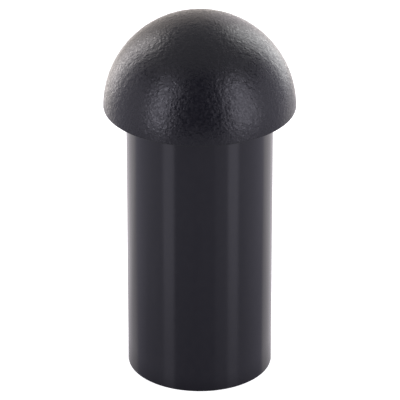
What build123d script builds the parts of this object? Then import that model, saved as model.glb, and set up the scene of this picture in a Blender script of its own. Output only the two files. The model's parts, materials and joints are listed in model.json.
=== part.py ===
from build123d import *
import os
from math import acos, cos, degrees, radians, tan

# One-piece moulded plug for a round hole or tube end: a half-ball head on a long straight
# shank. The shank is cored from its open lower end, which keeps the walls thin enough to mould.
# The origin is the centre of the head's flat underside, which seats on the panel or tube end.
# +Z points up through the crown, and the shank runs down from the origin along -Z.

# Driving dimensions, in millimetres and degrees.
hole_diameter = 25.0  # the hole or tube bore that the plug closes
press_interference = 0.2  # how much wider than the hole the shank is, so that it grips
shank_length = 49.0  # from the head's underside to the tip
head_diameter = 33.0  # of the half ball, before its edge is rounded
rim_radius = 0.2  # round on the crisp edge between the half ball and the underside
shank_wall = 2.5  # at the tip, where the drafted core leaves the shank thinnest
crown_wall = 2.5  # over the core's domed end
core_draft = 0.5  # degrees a side, so that the plug strips off the mould's core
core_end_round = 1.0  # round where the core's side runs into its domed end

shank_radius = (hole_diameter + press_interference) / 2
head_radius = head_diameter / 2
mouth_radius = shank_radius - shank_wall
core_end_radius = head_radius - crown_wall


def half_section():
    """Everything to one side of the axis: head and shank outside, cored hollow inside."""
    # Crown and core end are domes about the origin, so the crown's wall is even. The core's
    # side leans in by the draft and meets its domed end at this angle above the underside.
    draft = radians(core_draft)
    core_radius_at_underside = mouth_radius - shank_length * tan(draft)
    side_end_angle = core_draft + degrees(acos(core_radius_at_underside * cos(draft) / core_end_radius))

    with BuildSketch(Plane.XZ) as section:
        with BuildLine():
            crown = CenterArc((0, 0), head_radius, 0, 90)
            core_end = CenterArc((0, 0), core_end_radius, side_end_angle, 90 - side_end_angle)
            underside_root = (shank_radius, 0)
            tip = (shank_radius, -shank_length)
            mouth = (mouth_radius, -shank_length)
            Polyline(crown @ 0, underside_root, tip, mouth, core_end @ 0)
            Line(core_end @ 1, crown @ 1)
        make_face()
        for corner, radius in ((crown @ 0, rim_radius), (core_end @ 0, core_end_round)):
            fillet(section.vertices().sort_by_distance(corner)[0], radius)
    return section.sketch


def hole_plug():
    """The whole moulding, turned from its half section."""
    plug = revolve(half_section(), Axis.Z)
    plug.label = "hole_plug"
    return plug


os.makedirs("parts", exist_ok=True)
export_step(hole_plug(), "parts/hole_plug.step")
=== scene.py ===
import json
from math import acos, asin, atan2, ceil, cos, pi, radians, sin, sqrt, tan

import bmesh
import bpy
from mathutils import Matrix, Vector, noise


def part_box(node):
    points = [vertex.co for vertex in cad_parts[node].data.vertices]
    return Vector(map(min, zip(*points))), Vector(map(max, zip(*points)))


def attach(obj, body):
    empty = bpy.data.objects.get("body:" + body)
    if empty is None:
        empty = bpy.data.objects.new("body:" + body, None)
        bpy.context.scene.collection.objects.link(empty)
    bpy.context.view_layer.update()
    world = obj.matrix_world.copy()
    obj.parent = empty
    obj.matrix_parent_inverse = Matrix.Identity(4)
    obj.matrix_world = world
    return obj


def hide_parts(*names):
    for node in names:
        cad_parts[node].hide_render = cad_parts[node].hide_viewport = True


# A moulded plug for a round hole: grained half-ball head, smooth long shank, cored from below.
# Everything is in metres in the part's frame: z = 0 is the head's flat underside, and +z is up.

MM = 0.001

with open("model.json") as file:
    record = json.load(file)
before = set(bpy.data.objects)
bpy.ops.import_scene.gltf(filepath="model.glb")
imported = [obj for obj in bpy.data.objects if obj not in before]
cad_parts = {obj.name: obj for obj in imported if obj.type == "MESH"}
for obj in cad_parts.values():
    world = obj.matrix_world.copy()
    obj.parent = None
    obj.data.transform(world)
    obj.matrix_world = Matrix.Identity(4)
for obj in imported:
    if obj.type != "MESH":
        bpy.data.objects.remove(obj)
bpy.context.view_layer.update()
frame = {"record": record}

# ---------------------------------------------------------------- sizes
NODE = "hole_plug"
node_low, node_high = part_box(NODE)
mounts = {mount["name"]: mount for mount in frame["record"]["mounts"]}

head_radius = node_high.z
tip_z = node_low.z
shank_radius = mounts["shank"]["dims"]["r_mm"] * MM

# These repeat the solid's sizes, apart from the tip's round: the solid is sharp there.
rim_round = 0.2 * MM
tip_round = 0.10 * MM
shank_wall = 2.5 * MM
crown_wall = 2.5 * MM
core_draft = radians(0.5)
core_end_round = 1.0 * MM

# ---------------------------------------------------------------- mesh density
HEAD_CELLS = 160  # grid cells along each quarter of the head, 0.16 mm apart
CORE_CELLS = HEAD_CELLS // 4  # the same for the core's domed end
SEAT_STEPS = (0.66, 0.33)  # where the underside's grid coarsens, as shares of its width
RIM_ROWS = 4
TIP_ROWS = 3
CORE_END_ROWS = 5
STRIP = 0.3 * MM  # width of the strip that keeps a round's shading off the long face beside it
WELD = 0.001 * MM  # points closer than this are one
SHARP_EDGE = radians(40)  # faces that turn by more than this meet at a sharp edge

# ---------------------------------------------------------------- mould grain
# The head's spark-eroded grain: its waves are in the mesh, its pits are bump.
WAVE_DEPTH = 0.020 * MM
WAVES = ((0.80 * MM, 0.8), (0.50 * MM, 1.0))  # (length of a wave, share of the depth)
PIT_SIZE = 0.38 * MM
PIT_DEPTH = 0.029 * MM
GRAINED, SMOOTH = 0, 1  # material slots of the piece


# ---------------------------------------------------------------- shape
def dome(bm, cells, radius, lowest, material):
    """Half ball as five faces of a cube pushed out to a sphere, down to latitude `lowest`.

    Its lower edge has 4 * cells evenly spaced points.
    """
    steps = [tan(radians(90.0 * k / cells - 45.0)) for k in range(cells + 1)]
    upper_half = steps[cells // 2 :]
    faces = [lambda a, b: Vector((a, b, 1.0))]
    for turn in range(4):
        c, s = round(cos(turn * pi / 2)), round(sin(turn * pi / 2))
        faces.append(lambda a, b, c=c, s=s: Vector((c - s * a, s + c * a, b)))
    for index, face in enumerate(faces):
        rows = steps if index == 0 else upper_half
        grid = []
        for b in rows:
            line = []
            for a in steps:
                unit = face(a, b).normalized()
                latitude = lowest + asin(min(1.0, unit.z)) * (1.0 - lowest / (pi / 2))
                azimuth = atan2(unit.y, unit.x)
                out = radius * cos(latitude)
                line.append(bm.verts.new((out * cos(azimuth), out * sin(azimuth), radius * sin(latitude))))
            grid.append(line)
        for low, high in zip(grid, grid[1:]):
            for k in range(cells):
                bm.faces.new((low[k], low[k + 1], high[k + 1], high[k])).material_index = material


def circle(count, radius):
    """Evenly spaced points round the axis."""
    return [(radius * cos(2 * pi * k / count), radius * sin(2 * pi * k / count)) for k in range(count)]


def ring(bm, count, radius, z):
    return [bm.verts.new((x, y, z)) for x, y in circle(count, radius)]


def skin(bm, rings, material):
    """Quads between rings of equal count, and a fan where the count halves."""
    for upper, lower in zip(rings, rings[1:]):
        n = len(lower)
        for k in range(n):
            if len(upper) == n:
                corners = [(upper[k - 1], lower[k - 1], lower[k], upper[k])]
            else:
                a, b, c = upper[2 * k - 2], upper[2 * k - 1], upper[2 * k]
                corners = [(a, lower[k - 1], b), (b, lower[k - 1], lower[k]), (b, lower[k], c)]
            for face in corners:
                bm.faces.new(face).material_index = material


def arc(centre, radius, start, end, steps):
    """Points of an arc in the (radius, height) half plane, angles in radians."""
    angles = [start + (end - start) * k / steps for k in range(steps + 1)]
    return [(centre[0] + radius * cos(t), centre[1] + radius * sin(t)) for t in angles]


def beside(end, far):
    """Point of the straight line from a round's end to a far point, one strip away from the end."""
    length = sqrt((far[0] - end[0]) ** 2 + (far[1] - end[1]) ** 2)
    return tuple(a + (b - a) * STRIP / length for a, b in zip(end, far))


def add_head(bm):
    """Grained half ball and its rim, then the underside, whose grid coarsens inwards.

    The rim is an arc tangent to the half ball and to the flat underside. Returns the last ring.
    """
    centre = (sqrt((head_radius - rim_round) ** 2 - rim_round**2), rim_round)
    latitude = asin(rim_round / (head_radius - rim_round))
    dome(bm, HEAD_CELLS, head_radius, latitude, GRAINED)
    rim = arc(centre, rim_round, latitude, -pi / 2, RIM_ROWS)
    rim_rings = [ring(bm, 4 * HEAD_CELLS, r, z) for r, z in rim]
    skin(bm, rim_rings, GRAINED)

    outer = ring(bm, 4 * HEAD_CELLS, *beside(rim[-1], (shank_radius, 0)))
    middle_radius, inner_radius = [shank_radius + k * (centre[0] - shank_radius) for k in SEAT_STEPS]
    middle = ring(bm, 2 * HEAD_CELLS, middle_radius, 0)
    inner = ring(bm, HEAD_CELLS, inner_radius, 0)
    skin(bm, [rim_rings[-1], outer, middle, inner], SMOOTH)
    return inner


def add_shank(bm, seat_ring):
    """Shank, tip and core, whose drafted side runs through a round into a domed end."""
    corner = (shank_radius, 0)
    mouth = (shank_radius - shank_wall, tip_z)
    tip = arc((shank_radius - tip_round, tip_z + tip_round), tip_round, 0, -pi / 2, TIP_ROWS)

    # The core's end is concentric with the crown. The round is tangent to it and to the side.
    end_radius = head_radius - crown_wall
    side_at_seat = mouth[0] + tip_z * tan(core_draft)
    inside = side_at_seat * cos(core_draft) - core_end_round
    latitude = core_draft + acos(inside / (end_radius - core_end_round))
    centre = [(end_radius - core_end_round) * k for k in (cos(latitude), sin(latitude))]
    end = arc(centre, core_end_round, core_draft, latitude, CORE_END_ROWS)

    core = [beside(end[0], mouth)] + end
    outline = [corner, beside(tip[0], corner)] + tip + [beside(tip[-1], mouth), mouth] + core
    skin(bm, [seat_ring] + [ring(bm, 4 * CORE_CELLS, r, z) for r, z in outline], SMOOTH)
    dome(bm, CORE_CELLS, end_radius, latitude, SMOOTH)


def raise_grain(bm):
    """Push the head's skin out and in by the grain's waves, which fade out round the rim."""
    grained = {vert for face in bm.faces if face.material_index == GRAINED for vert in face.verts}
    for vert in grained:
        height = sum(share * noise.noise(vert.co / length) for length, share in WAVES)
        fade = min(1.0, max(0.0, vert.co.z / rim_round))
        vert.co += vert.co.normalized() * WAVE_DEPTH * fade * height


def make_plug():
    bm = bmesh.new()
    add_shank(bm, add_head(bm))
    bmesh.ops.remove_doubles(bm, verts=bm.verts, dist=WELD)
    bmesh.ops.recalc_face_normals(bm, faces=bm.faces)
    raise_grain(bm)
    mesh = bpy.data.meshes.new("moulded_plug")
    bm.to_mesh(mesh)
    bm.free()
    mesh.shade_smooth()
    # The flat underside, tip and core mouth meet their neighbours at sharp edges.
    mesh.set_sharp_from_angle(angle=SHARP_EDGE)
    plug = bpy.data.objects.new("moulded_plug", mesh)
    bpy.context.collection.objects.link(plug)
    return plug


# ---------------------------------------------------------------- materials
DEEP_BLACK = (0.0035, 0.0035, 0.0055, 1)
WORN_BLACK = (0.0060, 0.0058, 0.0075, 1)
TONE_SIZE = 1.2 * MM
PLASTIC_IOR = 1.5
NOISE_RANGE = (0.3, 0.7)  # the noise stays mostly within it

PIT_ROUGHNESS = (0.20, 0.46)  # from the glossiest pits to the dullest

# The smooth faces were polished along the draw, so their texture is long up and down.
SMOOTH_ROUGHNESS = (0.16, 0.19)
SMOOTH_SPOTS = 2.5 * MM
RIPPLE_SIZE = 2.0 * MM
RIPPLE_DEPTH = 0.002 * MM
ALONG_DRAW = (1, 1, 8)  # stretch in x, y and z


def new_material(name):
    """New material, with its Principled shader."""
    material = bpy.data.materials.new(name)
    material.use_nodes = True
    return material, material.node_tree.nodes["Principled BSDF"]


def texture_node(tree, kind, size, stretch=(1, 1, 1)):
    """Procedural texture over the part's own coordinates, with cells of the given size in metres."""
    coordinates = tree.nodes.new("ShaderNodeTexCoord")
    mapping = tree.nodes.new("ShaderNodeMapping")
    mapping.inputs["Scale"].default_value = [1 / (size * k) for k in stretch]
    texture = tree.nodes.new(kind)
    texture.inputs["Scale"].default_value = 1.0
    tree.links.new(coordinates.outputs["Object"], mapping.inputs["Vector"])
    tree.links.new(mapping.outputs["Vector"], texture.inputs["Vector"])
    return texture


def rescale(tree, value, old, new):
    """Turn a value's old range into a new one, and hold it there outside the range."""
    node = tree.nodes.new("ShaderNodeMapRange")
    for side, (low, high) in (("From", old), ("To", new)):
        node.inputs[side + " Min"].default_value = low
        node.inputs[side + " Max"].default_value = high
    tree.links.new(value, node.inputs["Value"])
    return node.outputs["Result"]


def black_plastic(name):
    """Carbon-black plastic whose tone is a little uneven, as the black in it is."""
    material, shader = new_material(name)
    tree = material.node_tree
    shader.inputs["IOR"].default_value = PLASTIC_IOR
    tone = tree.nodes.new("ShaderNodeMix")
    tone.data_type = "RGBA"
    tone.inputs["A"].default_value = DEEP_BLACK
    tone.inputs["B"].default_value = WORN_BLACK
    cloud = texture_node(tree, "ShaderNodeTexNoise", TONE_SIZE).outputs["Fac"]
    tree.links.new(rescale(tree, cloud, NOISE_RANGE, (0, 1)), tone.inputs["Factor"])
    tree.links.new(tone.outputs["Result"], shader.inputs["Base Color"])
    return material, shader


def vary_gloss(material, shader, roughness, size, stretch=(1, 1, 1)):
    tree = material.node_tree
    spots = texture_node(tree, "ShaderNodeTexNoise", size, stretch).outputs["Fac"]
    tree.links.new(rescale(tree, spots, NOISE_RANGE, roughness), shader.inputs["Roughness"])


def add_relief(material, shader, kind, output, size, depth, stretch=(1, 1, 1)):
    tree = material.node_tree
    bump = tree.nodes.new("ShaderNodeBump")
    bump.inputs["Distance"].default_value = depth
    height = texture_node(tree, kind, size, stretch).outputs[output]
    tree.links.new(height, bump.inputs["Height"])
    tree.links.new(bump.outputs["Normal"], shader.inputs["Normal"])


def grained_plastic():
    """The head: pits, each with its own gloss."""
    material, shader = black_plastic("grained_black_plastic")
    vary_gloss(material, shader, PIT_ROUGHNESS, PIT_SIZE)
    add_relief(material, shader, "ShaderNodeTexVoronoi", "Distance", PIT_SIZE, PIT_DEPTH)
    return material


def smooth_plastic():
    """Everything below the head: faint ripples along the draw."""
    material, shader = black_plastic("smooth_black_plastic")
    vary_gloss(material, shader, SMOOTH_ROUGHNESS, SMOOTH_SPOTS, ALONG_DRAW)
    add_relief(material, shader, "ShaderNodeTexNoise", "Fac", RIPPLE_SIZE, RIPPLE_DEPTH, ALONG_DRAW)
    return material


plug = make_plug()
plug.data.materials.append(grained_plastic())
plug.data.materials.append(smooth_plastic())
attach(plug, "root")
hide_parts(NODE)

# ---------------------------------------------------------------- camera
ELEVATION = radians(26.5)
DISTANCE = 37 * head_radius
FRAME_WIDTH = 4.197 * head_radius  # what the frame takes in at the object
AIM = Vector((0.003 * head_radius, 0, -1.096 * head_radius))  # the middle of the frame
SENSOR_WIDTH = 36
CLIP = (0.05, 10)


def make_camera():
    data = bpy.data.cameras.new("camera")
    data.sensor_width = SENSOR_WIDTH
    data.lens = SENSOR_WIDTH * DISTANCE / FRAME_WIDTH
    data.clip_start, data.clip_end = CLIP
    camera = bpy.data.objects.new("camera", data)
    bpy.context.collection.objects.link(camera)
    toward_camera = Vector((0, -cos(ELEVATION), sin(ELEVATION)))
    camera.location = AIM + DISTANCE * toward_camera
    camera.rotation_euler = (-toward_camera).to_track_quat("-Z", "Y").to_euler()
    return camera


bpy.context.scene.camera = make_camera()

# ---------------------------------------------------------------- floor
FLOOR_HALF = 1.5
FLOOR_GAP = 0.05 * MM  # keeps the floor clear of the tip's flat face
FLOOR_COLOUR = (0.8, 0.8, 0.8, 1)
FLOOR_GLOW = 0.9

# The table beside the plug's foot lies in the plug's own shade.
SHADE_DEPTH = 0.3  # share of the light that it takes away at the foot
SHADE_REACH = 5 * MM  # how far from the shank it fades out
SHADE_GAP = 0.02 * MM  # keeps it between the tip and the floor
SHADE_CORNERS = 96


def staged(name, corners, gap, material):
    """Flat thing just below the tip that isn't part of the plug and lights none of it."""
    mesh = bpy.data.meshes.new(name)
    mesh.from_pydata([(x, y, 0) for x, y in corners], [], [range(len(corners))])
    mesh.materials.append(material)
    thing = bpy.data.objects.new(name, mesh)
    bpy.context.collection.objects.link(thing)
    thing.location.z = tip_z - gap
    thing.visible_diffuse = False
    return thing


def make_floor():
    """White to the camera, and left out of the reflections, which come from the studio below."""
    material, shader = new_material("pale_floor")
    shader.inputs["Base Color"].default_value = FLOOR_COLOUR
    shader.inputs["Emission Color"].default_value = (1, 1, 1, 1)
    shader.inputs["Emission Strength"].default_value = FLOOR_GLOW
    square = [(FLOOR_HALF * x, FLOOR_HALF * y) for x, y in ((-1, -1), (1, -1), (1, 1), (-1, 1))]
    floor = staged("floor", square, FLOOR_GAP, material)
    floor.visible_glossy = False
    floor.visible_shadow = False


def make_foot_shade():
    """The shade round the foot, which shows only where the plug mirrors it, just above its tip."""
    material, shader = new_material("foot_shade")
    shader.inputs["Base Color"].default_value = (0, 0, 0, 1)
    shader.inputs["Roughness"].default_value = 1
    tree = material.node_tree
    place = tree.nodes.new("ShaderNodeTexCoord")
    from_axis = tree.nodes.new("ShaderNodeVectorMath")
    from_axis.operation = "LENGTH"
    tree.links.new(place.outputs["Object"], from_axis.inputs[0])
    reach = shank_radius + SHADE_REACH
    alpha = rescale(tree, from_axis.outputs["Value"], (shank_radius, reach), (SHADE_DEPTH, 0))
    tree.links.new(alpha, shader.inputs["Alpha"])
    shade = staged("foot_shade", circle(SHADE_CORNERS, reach), SHADE_GAP, material)
    shade.visible_camera = False


make_floor()
make_foot_shade()

# ---------------------------------------------------------------- light
# A ring of even lights round the plug: two tall soft boxes behind it and two in front, with a
# dark gap between the front pair, and dimmer ones for the table, walls, backdrop and ceiling.
# Azimuth 0 is the camera's side and 90 its right. Elevation is above the horizon. Both are in
# degrees, as the plug sees them.
COOL = (0.97, 0.94, 1.09)
PLAIN = (1.0, 1.0, 1.0)
WARM = (1.03, 0.98, 0.99)
SAND = (1.10, 1.0, 0.90)
PANEL_DISTANCE = 1.0
WIDEST_PANEL = 60

BOXES = (  # (name, azimuths, elevations, radiance, colour)
    ("back_left_box", (-146, -121), (-10, 42), 3.5, WARM),
    ("back_right_box", (130, 157), (-10, 42), 3.6, PLAIN),
    ("front_left_box", (-60, -39), (-10, 45), 3.4, COOL),
    ("front_right_box", (37, 70), (-10, 45), 2.7, COOL),
)
# Each patch of table is darker near the plug's foot, below this elevation.
FOOT_EDGE = -29.5
FOOT_END = -45
TABLE = (  # (name, azimuths, elevation of the far edge, radiance, share of it near the foot, colour)
    ("front_table", (-39, 24), -10, 0.42, 0.5, COOL),
    ("front_glow_table", (24, 45), -10, 0.55, 0.55, COOL),
    ("front_left_table", (-59, -40), -18, 1.15, 0.35, COOL),
    ("front_right_table", (45, 63), -15, 1.2, 0.35, COOL),
    ("left_table", (-120, -59), -20, 0.6, 0.5, COOL),
    ("right_table", (63, 120), -15, 0.63, 0.6, COOL),
    ("back_left_table", (-180, -120), -12, 1.05, 0.6, WARM),
    ("back_right_table", (120, 180), -12, 1.0, 0.8, WARM),
)
WALLS = (  # (name, azimuths, elevations, radiance, colour)
    ("left_wall", (-120, -65), (-20, 28), 0.7, COOL),
    ("right_wall", (70, 135), (-15, 28), 0.75, COOL),
    ("backdrop", (155, 225), (2, 36), 0.8, SAND),
    ("backdrop_low", (155, 225), (-22, 2), 1.2, SAND),
    ("backdrop_glow", (158, 174), (-10, 30), 0.55, COOL),
)
LEVELS = (  # (name, place, facing, width, depth, radiance, colour)
    ("ceiling", Vector((0, 0.4, 1)), Vector((0, 0, -1)), 2.6, 1.8, 0.35, PLAIN),
    ("table_below", Vector((0, 0, -1)), Vector((0, 0, 1)), 2.0, 2.0, 0.35, PLAIN),
)
FILL_COLOUR = (0.72, 0.69, 1.0, 1)
FILL_STRENGTH = 0.15


def area_light(name, place, facing, width, height, radiance, colour):
    """Rectangle of even light with the given brightness, hidden from the camera."""
    data = bpy.data.lights.new(name, "AREA")
    data.shape = "RECTANGLE"
    data.size, data.size_y = width, height
    data.energy = radiance * pi * width * height
    data.color = colour
    light = bpy.data.objects.new(name, data)
    bpy.context.collection.objects.link(light)
    light.location = place
    light.rotation_euler = (-facing).to_track_quat("Z", "Y").to_euler()
    light.visible_camera = False


def panel(name, azimuths, elevations, radiance, colour):
    """Upright lights that together fill a range of directions."""
    count = ceil((azimuths[1] - azimuths[0]) / WIDEST_PANEL)
    step = radians(azimuths[1] - azimuths[0]) / count
    width = 2 * PANEL_DISTANCE * tan(step / 2)
    bottom, top = [PANEL_DISTANCE * tan(radians(elevation)) for elevation in elevations]
    for k in range(count):
        azimuth = radians(azimuths[0]) + step * (k + 0.5)
        out = Vector((sin(azimuth), -cos(azimuth), 0))
        centre = PANEL_DISTANCE * out + Vector((0, 0, (bottom + top) / 2))
        area_light(name, centre, -out, width, top - bottom, radiance, colour)


def make_world():
    """White to the camera, and only a dim bluish fill for the plug."""
    world = bpy.data.worlds.new("studio")
    world.use_nodes = True
    tree = world.node_tree
    fill = tree.nodes["Background"]
    fill.inputs["Color"].default_value = FILL_COLOUR
    fill.inputs["Strength"].default_value = FILL_STRENGTH
    white = tree.nodes.new("ShaderNodeBackground")
    white.inputs["Color"].default_value = (1, 1, 1, 1)
    ray = tree.nodes.new("ShaderNodeLightPath")
    either = tree.nodes.new("ShaderNodeMixShader")
    tree.links.new(ray.outputs["Is Camera Ray"], either.inputs["Fac"])
    tree.links.new(fill.outputs["Background"], either.inputs[1])
    tree.links.new(white.outputs["Background"], either.inputs[2])
    tree.links.new(either.outputs["Shader"], tree.nodes["World Output"].inputs["Surface"])
    return world


for box in BOXES:
    panel(*box)
for name, azimuths, far_edge, radiance, share, colour in TABLE:
    panel(name, azimuths, (FOOT_EDGE, far_edge), radiance, colour)
    panel(name + "_foot", azimuths, (FOOT_END, FOOT_EDGE), share * radiance, colour)
for wall in WALLS:
    panel(*wall)
for level in LEVELS:
    area_light(*level)
bpy.context.scene.world = make_world()
bpy.context.scene.view_settings.view_transform = "Standard"
